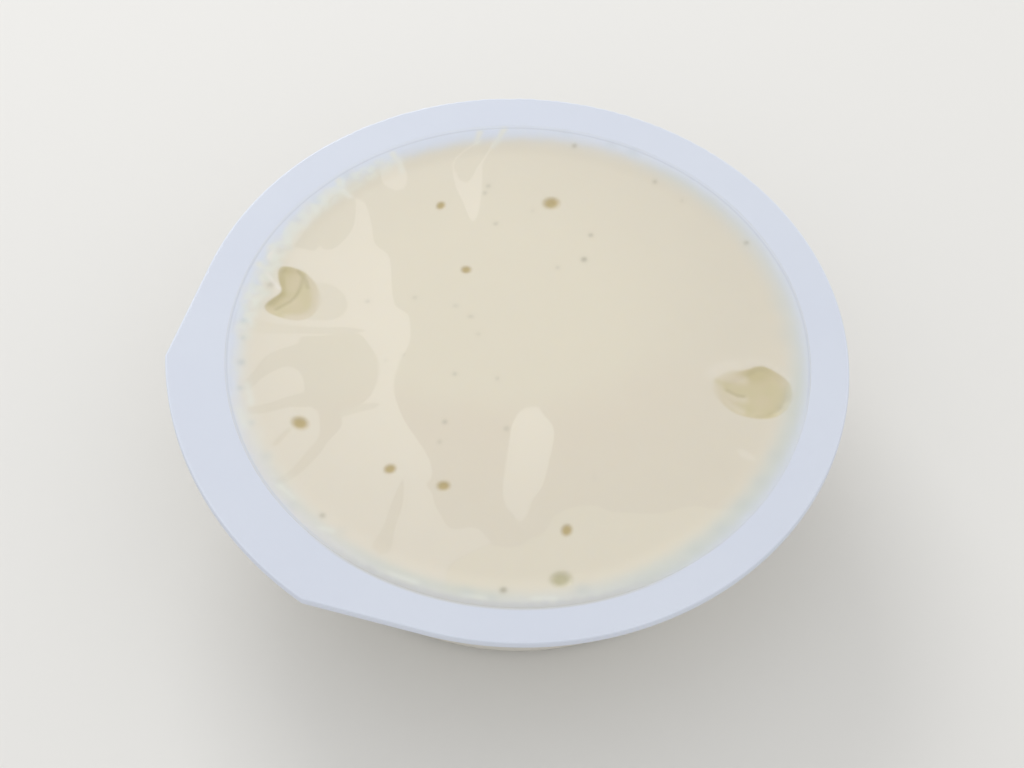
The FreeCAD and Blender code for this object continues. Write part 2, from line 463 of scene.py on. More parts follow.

# Thin lines where the film is creased off the mousse, painted paler in the same way, a painted reflection
DRY_LINES = [
    [(-9.8, 30.2), (-9.3, 31.5), (-8.3, 32.6), (-7.2, 33.6), (-6.4, 34.3)],
    [(-6.1, 30.4), (-5.4, 32), (-4.7, 33.6), (-4.3, 34.8)],
    [(-27.4, 3.45), (-25, 3.5), (-23, 3.55)],
]
DRY_LINE_WIDTH = 0.13

# Spots inside the pale patches where the mousse still wets the film
WET_ISLANDS = [
    [  # by the head of the band
        (-24.3, 24.7), (-23.4, 23.9), (-22.3, 23.7), (-22.1, 21.5), (-22.2, 19.4), (-22.9, 17.6),
        (-23.9, 16.1), (-25, 15.3), (-25.9, 15.4), (-26.4, 16.1), (-26.9, 15), (-28.2, 15.2), (-29.7, 15.5),
        (-29.4, 16.3), (-28.5, 18.2), (-27.4, 20.2), (-26.3, 22.3), (-25.3, 23.9),
    ],
    [  # round patch, with a streak down to the wall
        (-27.6, 1.3), (-25, 1.6), (-20.8, 2.2), (-19.2, 0.8), (-17.8, -1.6), (-17.5, -4.2), (-18.1, -6.8),
        (-19, -8.2), (-21.2, -10.2), (-22.6, -11.2), (-24.2, -11.4), (-24.8, -9.9), (-26.3, -8.8),
        (-26.6, -7.2), (-26.9, -5.2), (-27.8, -3.8), (-29.2, -3.4), (-30.9, -4.3), (-32.3, -5.6),
        (-33.6, -7.4), (-34.3, -6.6), (-33.1, -4.1), (-32.2, -2.3), (-30.9, -1.1), (-29, -0.3),
        (-27.9, 0.4),
    ],
    [
        (-26, -7.2), (-28.5, -7.9), (-30.9, -9), (-33.3, -10), (-33.4, -10.7), (-32.6, -10.9),
        (-30.2, -10.2), (-28.3, -9.5), (-25.8, -9.2),
    ],
    [
        (-24.2, -10.6), (-24.3, -13.6), (-25.8, -16.2), (-27.3, -18.7), (-29.1, -20.6), (-28.7, -21.1),
        (-27.2, -20.2), (-25.6, -18.5), (-24, -16.2), (-22.9, -14), (-21.7, -12.2), (-21.9, -10.7),
    ],
    [(-28, -12.5), (-29.2, -13.7), (-30, -15.3), (-29.3, -15.2), (-28.5, -14), (-27.8, -13)],
    [
        (-13.5, -19.4), (-13.4, -23.4), (-14, -25.8), (-14.5, -29.6), (-15.6, -30.2), (-16.7, -29.4),
        (-15.5, -26.2), (-14.7, -22.8),
    ],
]

# Halfway between the two: thinly wetted film, with a fainter painted reflection
THIN_PATCHES = [
    [  # near the front wall
        (-2.5, -28.3), (-0.4, -28.5), (1.4, -28.1), (2.3, -27.1), (3.8, -26.5), (4.6, -25), (5.4, -23.6),
        (6.9, -22.6), (8.8, -22), (10.4, -22), (12.2, -22.7), (16.7, -22.8), (19.2, -22.5), (20.6, -21.8),
        (23, -21.4), (25.6, -21.9), (31, -22), (22, -31.4), (12, -36.4), (2, -38.2), (-8.6, -37.2),
        (-7.7, -33.6), (-7, -31.4), (-5.8, -30.2), (-4.2, -29.1),
    ],
    [  # round the hollow by the tab
        (-27.4, 9.6), (-26, 9.9), (-25, 9.9), (-24, 9.4), (-23.1, 8.7), (-22.4, 7.7), (-22.1, 6.5),
        (-22.5, 5.2), (-23.4, 4.3), (-25.1, 4), (-27.2, 4.1), (-28.5, 6),
    ],
    [  # streak below that hollow
        (-33.6, 3.5), (-30.5, 3.1), (-26, 2.9), (-22, 3.1), (-19.6, 2.7), (-22, 1.9), (-27, 1.8),
        (-33.4, 1.7),
    ],
    [(-21.9, -10.7), (-19.8, -9.9), (-17.4, -9), (-17.3, -8.3), (-19.6, -8.6), (-21.6, -9.6)],
]

# Places where a patch's edge is soft, not crisp: place in the plan and reach
SOFT_EDGES = [
    (-25.2, 7, 2.2), (24.6, -4.2, 2.2), (27, -1.4, 1.8), (-2.6, -16, 3.5), (1.5, -7.2, 3), (-17, -3, 4),
    (-15.6, -30.6, 2.6),
]
SOFTENING = 0.72  # share of the edge's steepness that is lost there

# Two hollows where air is trapped under the film, and the creases in them
HOLLOWS = [
    [
        (-31.4, 10.7), (-31.4, 11.5), (-31.1, 12.15), (-30.2, 12.3), (-29.2, 12.05), (-28.2, 11.6),
        (-27.5, 11), (-26.6, 10), (-26.1, 9), (-25.8, 7.9), (-25.8, 6.9), (-25.9, 6), (-26.2, 5.1),
        (-26.8, 4.4), (-27.6, 3.95), (-28.6, 3.8), (-29.8, 3.95), (-31, 4.3), (-32.1, 4.8), (-32.6, 5.4),
        (-32.7, 5.95), (-32.2, 6.7), (-31.5, 7.4), (-31, 7.9), (-30.8, 8.4), (-31, 9.2), (-31.25, 10),
    ],
    [
        (24.9, -2.9), (25, -2.4), (25.7, -1.95), (26.6, -1.5), (27.6, -1.15), (28.6, -0.85), (29.4, -0.6),
        (30.1, -0.25), (31, -0.15), (31.9, -0.45), (32.7, -1), (33.4, -1.55), (34, -2.15), (34.5, -2.9),
        (34.65, -3.8), (34.65, -4.7), (34.4, -5.8), (33.8, -6.9), (32.8, -7.75), (31.5, -8.15),
        (30.1, -8.2), (28.7, -7.95), (27.3, -7.4), (26.2, -6.5), (25.45, -5.4), (25, -4.2),
    ],
]
# Where each hollow is deepest, how far off it shallows out, and the share of its depth that is left there
HOLLOW_FLOORS = [(-31.2, 8.4, 1.5, 5.5, 0.4), (31.6, -3.6, 2, 7, 0.25)]
HOLLOW_DEPTH = 0.2
HOLLOW_WALL = (-0.1, 0.9)  # where its soft wall starts and ends, inside the outline
CREASE_DEPTH = 0.04
CREASE_WIDTH = 0.26
# The creases are cut into the floor and also painted darker, a painted shade. The shady edges are painted
# shade along the hollows' shaded walls, and the pale folds are painted light along the lit side of folds
# and of the hollows' walls.
CREASES = [
    [(-28.2, 10.4), (-28.3, 9.4), (-28.5, 8.5), (-29, 7.4), (-29.6, 6.7), (-30.4, 6.1), (-31.2, 5.5)],
    [(-28.9, 11.7), (-28.3, 11), (-27.7, 10.1), (-27.4, 9.1)],
    [(26.5, -4.05), (27.3, -4.5), (27.9, -4.8), (28.6, -4.8)],
]
SHADY_EDGES = [
    [(-30.9, 11.4), (-30.8, 10.2), (-30.6, 9.2), (-30.5, 8.3), (-31, 7.5), (-31.7, 6.8), (-32.4, 6.1)],
    [(33.9, -3.2), (34, -4.6), (33.5, -5.8), (32.8, -6.8), (31.6, -7.6), (30.2, -7.8)],
]
LIT_FOLDS = [
    [(25.7, -2.3), (27.2, -2.2), (28.6, -2.4)],
    [(26.2, -4.7), (27.2, -5.15), (28.6, -5.3)],
    [(-27.3, 10.6), (-26.4, 9.2), (-26.1, 7.5), (-26.2, 5.8), (-27, 4.6), (-28.2, 4.2), (-29.7, 4.2)],
    [(25.3, -3.5), (25.8, -5), (26.9, -6.4), (28.2, -7.2)],
]
# Soft spots of colour in and round the hollows: place in the plan and reach. The olive spots are painted
# shade in the deep corners and on the shaded walls, the grey ones painted light on the lit walls.
OLIVE_SHADE_SPOTS = [
    (-30.4, 11.5, 1), (-30.9, 9.8, 0.9), (-30.7, 8, 0.9), (-31.7, 6.5, 0.9), (30.9, -1.3, 1.6, 0.9),
    (29.6, -1.6, 1, 0.8), (34.2, -4, 0.8, 0.7), (34.1, -5.2, 0.9, 0.9), (33.5, -6.6, 0.9, 0.9),
    (32.2, -7.5, 0.8, 0.6),
]
LIT_GREY_SPOTS = [
    (-26.3, 9.4, 0.9), (-25.9, 7.6, 0.9), (-26.1, 5.8, 0.9), (-27.2, 4.4, 0.9), (-28.8, 4, 0.8),
    (26, -4.9, 0.9, 0.6), (27.2, -6.4, 0.9, 0.6),
]
# Painted highlight along the far rim of the right hollow, just outside it
RIM_HIGHLIGHT_SPOTS = [
    (24.6, -1.6, 0.9), (25.5, -0.9, 0.9), (26.4, -0.4, 0.9), (27.6, -0.1, 0.9), (29.4, 0.4, 0.6),
    (30.6, 0.5, 0.5), (31.7, 0.2, 0.5), (32.7, -0.5, 0.45), (33.6, -1.3, 0.45), (34.3, -2.1, 0.4),
]

# Burst bubbles: place in the plan, half of the length and of the width, and the length's direction
BURST_BUBBLES = [
    (3.5, 24.5, 1.08, 0.95, 10), (-11, 23.3, 0.68, 0.58, 60), (-7.2, 13, 0.68, 0.6, 0),
    (-26.8, -11.8, 1.08, 0.88, 150), (-15.2, -18, 0.78, 0.66, 30), (-8.5, -20.1, 0.82, 0.7, 10),
    (6.8, -25.7, 0.84, 0.68, 80), (6.3, -32.7, 1.28, 1.08, 10),
]
BUBBLE_DEPTH_SHARE = 0.13  # of its width
SWELL_HEIGHT = 0.012  # of the whole surface
SWELL_SPACING = 9.0

# Small bubbles: place in the plan, reach and how much they show. The last two are no bubbles but painted
# shade along the right hollow's right edge.
SPECKS = [
    (-0.6, -34.6, 0.44, 0.9), (-23, -25.2, 0.4, 0.55), (29.1, 19.2, 0.34, 0.55), (17.1, 28.8, 0.34, 0.5),
    (6.3, 34.2, 0.36, 0.6), (8.8, 19.5, 0.34, 0.55), (8, 15.5, 0.4, 0.75), (-1.1, -11.3, 0.38, 0.38),
    (-8.8, -10.7, 0.34, 0.5), (-9.3, -13.7, 0.32, 0.3), (20.7, 25.8, 0.28, 0.26), (-3.7, 20.7, 0.34, 0.38),
    (4.6, 14, 0.32, 0.3), (-4.9, 26.9, 0.32, 0.42), (-5.3, 25.7, 0.3, 0.4), (-13.6, 8.2, 0.32, 0.3),
    (-8.3, 7.2, 0.34, 0.28), (-7.9, -3.4, 0.34, 0.34), (-2.5, -3.8, 0.32, 0.28), (-19.6, 7.3, 0.32, 0.28),
    (1.1, 23.1, 0.28, 0.22), (10, -18, 0.26, 0.18), (-14.5, -0.8, 0.26, 0.2), (-16.7, -1.8, 0.26, 0.16),
    (-5.2, 2.9, 0.3, 0.24), (-6.3, 5.6, 0.34, 0.34), (-32.25, 9.2, 0.45, 0.4), (34.1, -4.9, 0.8, 0.25),
    (33.4, -6.4, 0.8, 0.25),
]

# Marks by the wall, as a direction in degrees and a distance inside the mouth.
# Pale strands of mousse that reach out under the film
RIM_STRANDS = [
    [(133, 0.7), (133.8, 2), (133.7, 3.6)],
    [(135.4, 1.5), (139, 2.05), (144, 2.3), (149, 2.2), (152.4, 2.3)],
    [(155.2, 0.9), (156.8, 2), (158.4, 3)],
    [(160.2, 0.8), (160.8, 1.8)],
    [(166.4, 3.5), (168.4, 2.5), (170.6, 2.2)],
    [(119.6, 0.9), (119.2, 2.4), (119.8, 3.8)],
    [(95, 0.4), (96.2, 1.8), (97.6, 3)],
    [(100.2, 0.7), (100.8, 1.5), (101.2, 2.2)],
    [(191, 2.4), (195.5, 2.6)],
    [(196.6, 0.8), (201, 0.9)],
    [(216.8, 1.3), (220.5, 1.7)],
    [(229.6, 1.3), (231.6, 2)],
    [(246.5, 0.8), (252, 1)],
    [(261.5, 0.9), (265.5, 0.8)],
    [(275, 1.1), (279, 0.9)],
]
STRAND_WIDTH = 0.42
# Greyer blots: direction, distance inside the mouth, reach and how much they show
RIM_BLOTS = [
    (130.8, 0.6, 0.6, 0.4), (139.6, 1.1, 0.7, 0.2), (146.2, 1.3, 0.6, 0.25), (153.4, 3, 0.45, 0.35),
    (155, 2.4, 0.4, 0.35), (165.4, 1.6, 0.6, 0.3), (171.5, 1.3, 0.7, 0.2), (174.8, 1.6, 0.45, 0.7),
    (179, 1.9, 0.4, 0.7), (185.2, 1.9, 0.5, 0.9), (191.6, 1.5, 0.4, 0.8), (200.4, 1.9, 0.4, 0.5),
    (209.2, 2, 0.8, 0.4), (222, 0.9, 0.7, 0.3), (233, 2.8, 0.7, 0.3), (262, 1.3, 1, 0.4),
    (267, 1, 0.7, 0.35), (284.6, 1.7, 1, 0.6), (309, 1.4, 1.1, 0.3), (316, 1.5, 1.1, 0.4),
    (323, 1.6, 1.1, 0.4), (330, 1.7, 1, 0.35), (337, 1.9, 0.9, 0.3), (67, 0.5, 0.8, 0.5),
    (72, 0.5, 0.7, 0.4), (82, 0.3, 0.7, 0.3), (8, 2.6, 1.4, 0.25), (16, 2.4, 1.2, 0.2),
]
# White nicks in the mousse beside the hollow by the tab: points in the plan
WHITE_NICKS = [
    [(-32.75, 10.9), (-31.9, 9.7), (-31.1, 8.75)],
    [(-32.7, 13.2), (-32.5, 14.2)],
]
NICK_WIDTH = 0.22

# Middle of a pool of light painted on the mousse: wet and dry mousse darken away from it towards the wall,
# a painted shade
LIGHT_POOL_MIDDLE = (-4, 6)  # in the mousse

# Places that need finer faces, the share of the way that they draw the grid's points, how far off
# they do that and the share of the disc's radius over which it fades out at the edge
FINER_PLACES = [(-29.2, 8.3), (29.8, -3.8)]
FINER_PULL = 0.35
FINER_REACH = 5.0
FINER_FADE = 0.12

# The mousse's margin round the wall: direction, then distance inside the mouth of its middle, half of
# its width and the thickness of mousse that hides all but a third of the white behind it
MARGINS = [
    (0, 0.6, 1.1, 0.44), (20, 0.6, 1.1, 0.48), (45, 0.9, 1.2, 0.44), (85, 1.4, 1.2, 0.46),
    (110, 1.9, 1.2, 0.42), (140, 1.2, 1.3, 0.38), (175, 1.3, 1.3, 0.4), (187, 1.1, 1.2, 0.42),
    (200, 0.1, 0.9, 0.32), (222, -0.2, 0.8, 0.32), (240, -0.7, 0.8, 0.34), (270, -1, 0.8, 0.3),
    (300, -0.1, 0.9, 0.4), (320, 0.5, 1.2, 0.5), (340, 0.5, 1.1, 0.48),
]
FRONT_DIRECTION = 266.0
# Stretches of the wall: direction of the middle, half of the span and the further angle that fades it
STRETCHES = {
    "tab": (150, 22, 14),
    "low_tab": (196, 20, 20),
    "front": (FRONT_DIRECTION, 18, 24),
    "no_line": (322, 24, 10),
    "no_veil": (182, 50, 16),
    "faint_veil": (95, 26, 16),
    "strong_veil": (326, 24, 22),
    "near_band": (240, 22, 14),
    "line_farther_in": (85, 50, 20),
}
EDGE_WAVES = [(3.2, 11, 1), (1.4, 12, 0.6)]  # spacing, seed and height of the margin's swing
EDGE_SWING = 0.1
TAB_SWING = {"tab": 0.35, "low_tab": 0.1}  # more by the tab
STRAND_COVER = 0.5  # how far a strand hides the white
FROTH_SHARE = 0.3  # of the froth that goes on along the low tab's side
FROTH_BAND = (0.3, 1.3, 2.2, 3.8)  # inside the mouth: where it starts, is full, starts to end and ends
# The veil is painted shade where the mousse thins over the shoulder, darker than both the mousse and the
# white
VEIL_STRENGTH = 0.9  # doubled in the stretch of strong veil
FAINT_VEIL_LOSS = 0.85
NEAR_BAND = (1.5, 0.9, 0.22)  # faint band in the veil: distance inside the mouth, reach and strength
# Greener spots of painted shade beside the hollow by the tab: place in the plan, reach and how much they
# show
VEIL_SPOTS = [
    (-32.7, 7.9, 0.8, 0.3), (-32.6, 10.5, 0.8, 0.3), (-31.9, 12.7, 1, 0.2), (-33.3, 5.9, 0.8, 0.2),
]
LINE_PLACE = 0.03  # of the thin shadow, inside the mouth
LINE_SHIFT = 0.17  # how much farther in it lies at the back
# A second, fainter line of painted shadow inside the mouth on the left, in the thin shadow's colour:
# direction and distance inside the mouth
SECOND_LINE = [(172, 0.3), (177, 0.5), (183, 0.6), (188, 0.55), (192, 0.4)]
SECOND_LINE_WIDTH = 0.12
BAND_REACH = (0.36, 0.12, 1.6, 13)  # of the front's shadow: middle, swing, the swing's spacing and seed
BAND_FADE = (-0.3, 0.55)


def soft_spots(plan, spots):
    """Sum of bell-shaped spots, each of its reach and strength, held to 1."""
    total = np.zeros(len(plan))
    for x, y, reach, *strength in spots:
        away = (plan[:, 0] - x) ** 2 + (plan[:, 1] - y) ** 2
        total += (strength[0] if strength else 1.0) * np.exp(-away / reach ** 2)
    return np.minimum(total, 1.0)


def soft_lines(plan, lines, width):
    """Bell-shaped ridge along each of several lines, from 0 to 1."""
    ridge = np.zeros(len(plan))
    for line in lines:
        ridge = np.maximum(ridge, np.exp(-(line_distance(plan, line) / width) ** 2))
    return ridge


def from_rim(direction, inward):
    """Plan point at a direction and a distance inside the mouth."""
    return (MOUTH_RADIUS - inward) * directions(direction)


def bubble_share(plan, bubble):
    """Distance from a burst bubble's middle as a share of its reach in that direction."""
    x, y, length, width, turn = bubble
    along = directions(turn)
    across = directions(turn + 90)
    offset = plan - (x, y)
    return np.hypot(offset @ along / length, offset @ across / width)


def disc_points(radius, cells):
    """Even grid on a disc: each square ring of a square grid is bent onto a circle, keeping areas alike."""
    side = np.linspace(-1, 1, cells + 1)
    u, v = np.meshgrid(side, side, indexing="ij")
    wide = np.abs(u) >= np.abs(v)
    reach = np.where(wide, u, v)
    other = np.where(wide, v, u)
    turn = (math.pi / 4) * np.divide(other, reach, out=np.zeros_like(reach), where=reach != 0)
    along = reach * np.cos(turn)
    across = reach * np.sin(turn)
    x = np.where(wide, along, across)
    y = np.where(wide, across, along)
    return radius * np.stack([x, y], axis=-1).reshape(-1, 2)


def crowd(plan, radius):
    """Draws grid points towards places that need finer faces, and leaves the disc's edge as it is."""
    edge_share = np.clip((radius - np.linalg.norm(plan, axis=1)) / (FINER_FADE * radius), 0, 1)
    moved = plan.copy()
    for centre in FINER_PLACES:
        offset = np.asarray(centre) - plan
        weight = FINER_PULL * np.exp(-((offset ** 2).sum(axis=1)) / FINER_REACH ** 2) * edge_share
        moved += offset * weight[:, None]
    return moved


def slope_share(plan):
    """How far the film has risen from the mousse to the flange: an even S just inside the mouth."""
    radius = np.linalg.norm(plan, axis=1)
    return smooth_step(radius, MOUTH_RADIUS - FILM_SLOPE_WIDTH, MOUTH_RADIUS + SLOPE_REACH)


def mousse_relief(plan, fields):
    """Height of the mousse's surface over the plan.

    It is level up to the film and climbs with it at the wall. It sinks into each hollow over
    a soft wall, deepest on one side, with creases in its floor, and into each burst bubble
    like a cup, with a faint swell over all of it.
    """
    depth = np.zeros(len(plan))
    for x, y, start, end, rest in HOLLOW_FLOORS:
        away = np.hypot(plan[:, 0] - x, plan[:, 1] - y)
        depth = np.maximum(depth, (1 - (1 - rest) * smooth_step(away, start, end)) * (away < 2 * end))
    bowl = HOLLOW_DEPTH * depth * smooth_step(fields["hollow"], *HOLLOW_WALL)
    crease = CREASE_DEPTH * np.exp(-(fields["crease"] / CREASE_WIDTH) ** 2) * (fields["hollow"] > 0)
    pit = np.zeros(len(plan))
    for bubble in BURST_BUBBLES:
        share = bubble_share(plan, bubble)
        pit = np.maximum(pit, BUBBLE_DEPTH_SHARE * bubble[3] * np.sqrt(np.clip(1 - share ** 2, 0, 1)))
    up = slope_share(plan)
    swell = SWELL_HEIGHT * (waves(plan, SWELL_SPACING, seed=3) - 1) * (1 - up)
    climb = (CUP_HEIGHT + BRIM_HEIGHT - MOUSSE_TOP) * up
    return MOUSSE_TOP - bowl - crease - pit + swell + climb


def sector(plan, middle, half_span, fade):
    """1 within an angle of a direction, falling to 0 over a further angle."""
    turn = np.degrees(np.arctan2(plan[:, 1], plan[:, 0]))
    away = np.abs((turn - middle + 180) % 360 - 180)
    return 1 - smooth_step(away, half_span, half_span + fade)


def edge_fields(plan):
    """Numbers for the mousse's edge, where it thins over the cup's white shoulder.

    The mousse hides a share of the white: one less an exponential of its thickness, times an
    even S across a margin, which is ragged by the tab. Bare is the rest of the white, and the
    veil is where it half shows, painted darker than the mousse and the white as painted shade,
    with a faint band of it at the near side and greener spots beside the hollow by the tab. The
    line says how much the thin shadow along the mouth shows and where it lies, and the band is
    the wide shadow that takes its place at the front.
    """
    direction = np.degrees(np.arctan2(plan[:, 1], plan[:, 0])) % 360
    table = np.array(MARGINS, float)
    middle, half_width, hiding_depth = (
        np.interp(direction, table[:, 0], table[:, column], period=360) for column in (1, 2, 3)
    )
    along = {name: sector(plan, *stretch) for name, stretch in STRETCHES.items()}
    inward = MOUTH_RADIUS - np.linalg.norm(plan, axis=1)
    drop = np.clip(inward - LEDGE_WIDTH, 0, SHOULDER_RADIUS)
    shoulder = SHOULDER_RADIUS - np.sqrt(SHOULDER_RADIUS ** 2 - drop ** 2)
    thickness = MOUSSE_TOP - LEDGE_HEIGHT + shoulder
    ragged = sum(height * waves(plan, spacing, seed) for spacing, seed, height in EDGE_WAVES)
    swing = EDGE_SWING + sum(more * along[name] for name, more in TAB_SWING.items())
    margin = smooth_step(inward - middle - swing * ragged, -half_width, half_width)
    cover = (1 - np.exp(-thickness / hiding_depth)) * margin
    strands = soft_lines(plan, [[from_rim(*spot) for spot in line] for line in RIM_STRANDS], STRAND_WIDTH)
    start, full, fade, end = FROTH_BAND
    froth = smooth_step(inward, start, full) * (1 - smooth_step(inward, fade, end))
    veil = cover * (1 - cover) * (1 - along["no_veil"]) * (1 - FAINT_VEIL_LOSS * along["faint_veil"])
    veil *= VEIL_STRENGTH * (1 + along["strong_veil"])
    place, reach, strength = NEAR_BAND
    veil += strength * np.exp(-((inward - place) / reach) ** 2) * along["near_band"]
    veil += soft_spots(plan, VEIL_SPOTS)
    reach, swing, spacing, seed = BAND_REACH
    fade = inward - reach - swing * waves(plan, spacing, seed)
    return {
        "bare": 1 - np.maximum(cover, STRAND_COVER * strands),
        "strand": strands,
        "blot": soft_spots(plan, [(*from_rim(*blot[:2]), *blot[2:]) for blot in RIM_BLOTS]),
        "froth": np.maximum(along["tab"], FROTH_SHARE * along["low_tab"]) * froth,
        "veil": veil,
        "line": (1 - along["no_line"]) * (1 - along["front"]),
        "line_place": LINE_PLACE + LINE_SHIFT * along["line_farther_in"],
        "second": soft_lines(plan, [[from_rim(*spot) for spot in SECOND_LINE]], SECOND_LINE_WIDTH)
        * (1 - along["front"]),
        "band": along["front"] * (1 - smooth_step(fade, *BAND_FADE)),
    }


# What the numbers are below the surface, where nothing marks the mousse: 0 where none is given
BELOW = dict.fromkeys(("hollow", "dry", "thin"), -FIELD_REACH)
BELOW |= dict.fromkeys(("crease", "shade", "fold", "burst"), FIELD_REACH)


def nearest(distances):
    """The least of several distances at each point."""
    return np.min(list(distances), axis=0)


def mousse_fields(plan):
    """Numbers that the mousse's colours follow, one array for each.

    Patches are signed distances in millimetres, made smaller where their edge is soft.
    Spots and strands are shares from 0 to 1.
    """
    steep = 1 - SOFTENING * soft_spots(plan, SOFT_EDGES)
    dry = np.minimum(union(plan, DRY_PATCHES), -union(plan, WET_ISLANDS)) * steep
    dry = np.maximum(dry, DRY_LINE_WIDTH - nearest(line_distance(plan, line) for line in DRY_LINES))
    lines = {"crease": CREASES, "shade": SHADY_EDGES, "fold": LIT_FOLDS}
    spots = {"olive": OLIVE_SHADE_SPOTS, "grey": LIT_GREY_SPOTS, "pale": RIM_HIGHLIGHT_SPOTS, "speck": SPECKS}
    burst = nearest(bubble_share(plan, bubble) for bubble in BURST_BUBBLES)
    fields = {
        "dry": dry,
        "thin": union(plan, THIN_PATCHES) * steep,
        "hollow": union(plan, HOLLOWS) * steep,
        "burst": np.minimum(burst, FIELD_REACH),
        "nick": soft_lines(plan, WHITE_NICKS, NICK_WIDTH),
    }
    fields |= {name: soft_spots(plan, group) for name, group in spots.items()}
    fields |= {name: nearest(line_distance(plan, line) for line in group) for name, group in lines.items()}
    return fields | edge_fields(plan)


def disc_rim(cells):
    """Indices of a square grid's border, once round, turning from +X towards +Y."""
    grid = np.arange((cells + 1) ** 2).reshape(cells + 1, cells + 1)
    right = grid[-1, :-1]
    top = grid[:0:-1, -1]
    left = grid[0, :0:-1]
    bottom = grid[:-1, 0]
    return np.concatenate([right, top, left, bottom])


# ---------------------------------------------------------------- materials

EVEN_S = {"interpolation_type": "SMOOTHSTEP"}
COLOUR_MIX = {"data_type": "RGBA"}  # its inputs 0, 6 and 7 are the factor and two colours, output 2 the mix

# Noises: name, size of the features in millimetres and how much finer detail they carry. The sheet's
# fine texture and the paper's fibre are drawn coarse enough to show.
CUP_NOISES = [("cloud", 18.0, 2.0), ("grain", 0.35, 1.0)]
MOUSSE_NOISES = [
    ("fray", 0.8, 3.0), ("drift", 9.0, 1.0), ("tone", 3.0, 1.0), ("froth", 1.3, 2.0), ("pores", 0.5, 2.0),
]
PAPER_NOISES = [("fibre", 2.0, 4.0)]

# Layers of colour from the bottom up: the colour, the number on the mesh that places it, the share
# that it covers where that is full and, for a distance, where it starts and is full
# The hollows' own layers paint light and shade: the grey spots and pale folds as painted light on the lit
# walls, the olive spots, shady edges and creases as painted shade
HOLLOW_LAYERS = [
    ("hollow_lit_grey", "grey", 0.6),
    ("hollow_olive_shade", "olive", 0.8),
    ("fold", "fold", 0.7, 1.1, 0.0),
    ("crease", "shade", 0.22, 0.55, 0.05),
    ("crease", "crease", 0.42, 0.42, 0.08),
]
MOUSSE_LAYERS = [
    # Painted highlight: the pale spots along the right hollow's far rim, in the colour of dry mousse by the
    # wall
    ("dry_edge", "pale", 0.9),
    ("hollow", "hollow", 1.0, -0.2, 0.25),
    ("rim", "bare", 1.0),
    ("veil", "veil", 1.0),
    ("froth", "froth", 0.55),
    ("strand", "strand", 0.45),
    ("blot", "blot", 0.5),
    ("nick", "nick", 0.75),
    ("burst", "burst", 1.0, 1.5, 0.35),
    ("speck", "speck", 1.0),
    ("line", "line", 0.75),
    ("line", "second", 0.35),
    ("band", "band", 1.0),
]


def linear(code):
    """Linear colour of an sRGB hex value."""
    parts = [int(code[index:index + 2], 16) / 255 for index in (1, 3, 5)]
    return [part / 12.92 if part <= 0.04045 else ((part + 0.055) / 1.055) ** 2.4 for part in parts] + [1.0]


def add_node(tree, kind, inputs=None, output=0, **settings):
    """Adds a node, sets its properties, fills its inputs with values or links, and gives an output."""
    node = tree.nodes.new("ShaderNode" + kind)
    for name, value in settings.items():
        setattr(node, name, value)
    for name, value in (inputs or {}).items():
        if isinstance(value, bpy.types.NodeSocket):
            tree.links.new(value, node.inputs[name])
        else:
            node.inputs[name].default_value = value
    return node.outputs[output] if node.outputs else None


def new_material(name):
    """Empty node material."""
    material = bpy.data.materials.new(name)
    material.use_nodes = True
    material.node_tree.nodes.clear()
    return material, material.node_tree


def place_and_noises(tree, table):
    """The place in the object, and a table's noises there, by name."""
    position = add_node(tree, "TexCoord", output="Object")
    noises = {}
    for name, size, detail in table:
        inputs = {"Vector": position, "Scale": 1 / (size * MM), "Detail": detail}
        noises[name] = add_node(tree, "TexNoise", inputs, "Fac")
    return position, noises


def plan_place(tree, position):
    """A place's three parts, the place laid flat on the base, and its distance from the cup's axis."""
    place = add_node(tree, "SeparateXYZ", {"Vector": position}).node.outputs
    flat = add_node(tree, "CombineXYZ", {"X": place["X"], "Y": place["Y"]})
    return place, flat, add_node(tree, "VectorMath", {0: flat}, "Value", operation="LENGTH")


def held_back(tree, factor, other, amount):
    """A factor less the share of it that another one takes: factor x (1 - amount x other)."""
    rest = add_node(tree, "Math", {0: other, 1: -amount, 2: 1.0}, operation="MULTIPLY_ADD")
    return add_node(tree, "Math", {0: factor, 1: rest}, operation="MULTIPLY")


def lay_over(tree, colour, layers, tones, masks):
    """Lays a table's layers over a colour, each where its number on the mesh says.

    Tones are the colours by name. A mask, from 0 to 1, narrows the layer of its number.
    """
    for tone, number, amount, *limits in layers:
        start, full = limits or (0.0, 1.0)
        stored = add_node(tree, "Attribute", output="Fac", attribute_name=number)
        inputs = {"Value": stored, "From Min": start, "From Max": full, "To Max": amount}
        factor = add_node(tree, "MapRange", inputs, **(EVEN_S if limits else {}))
        if number in masks:
            factor = add_node(tree, "Math", {0: factor, 1: masks[number]}, operation="MULTIPLY")
        colour = add_node(tree, "Mix", {0: factor, 6: colour, 7: tones[tone]}, 2, **COLOUR_MIX)
    return colour


def finish_surface(tree, relief, strength, depth, inputs):
    """Ends a material with its shader, bumped by a relief of a depth in millimetres."""
    bump = add_node(tree, "Bump", {"Strength": strength, "Distance": depth * MM, "Height": relief})
    surface = add_node(tree, "BsdfPrincipled", {"Normal": bump} | inputs)
    add_node(tree, "OutputMaterial", {"Surface": surface})


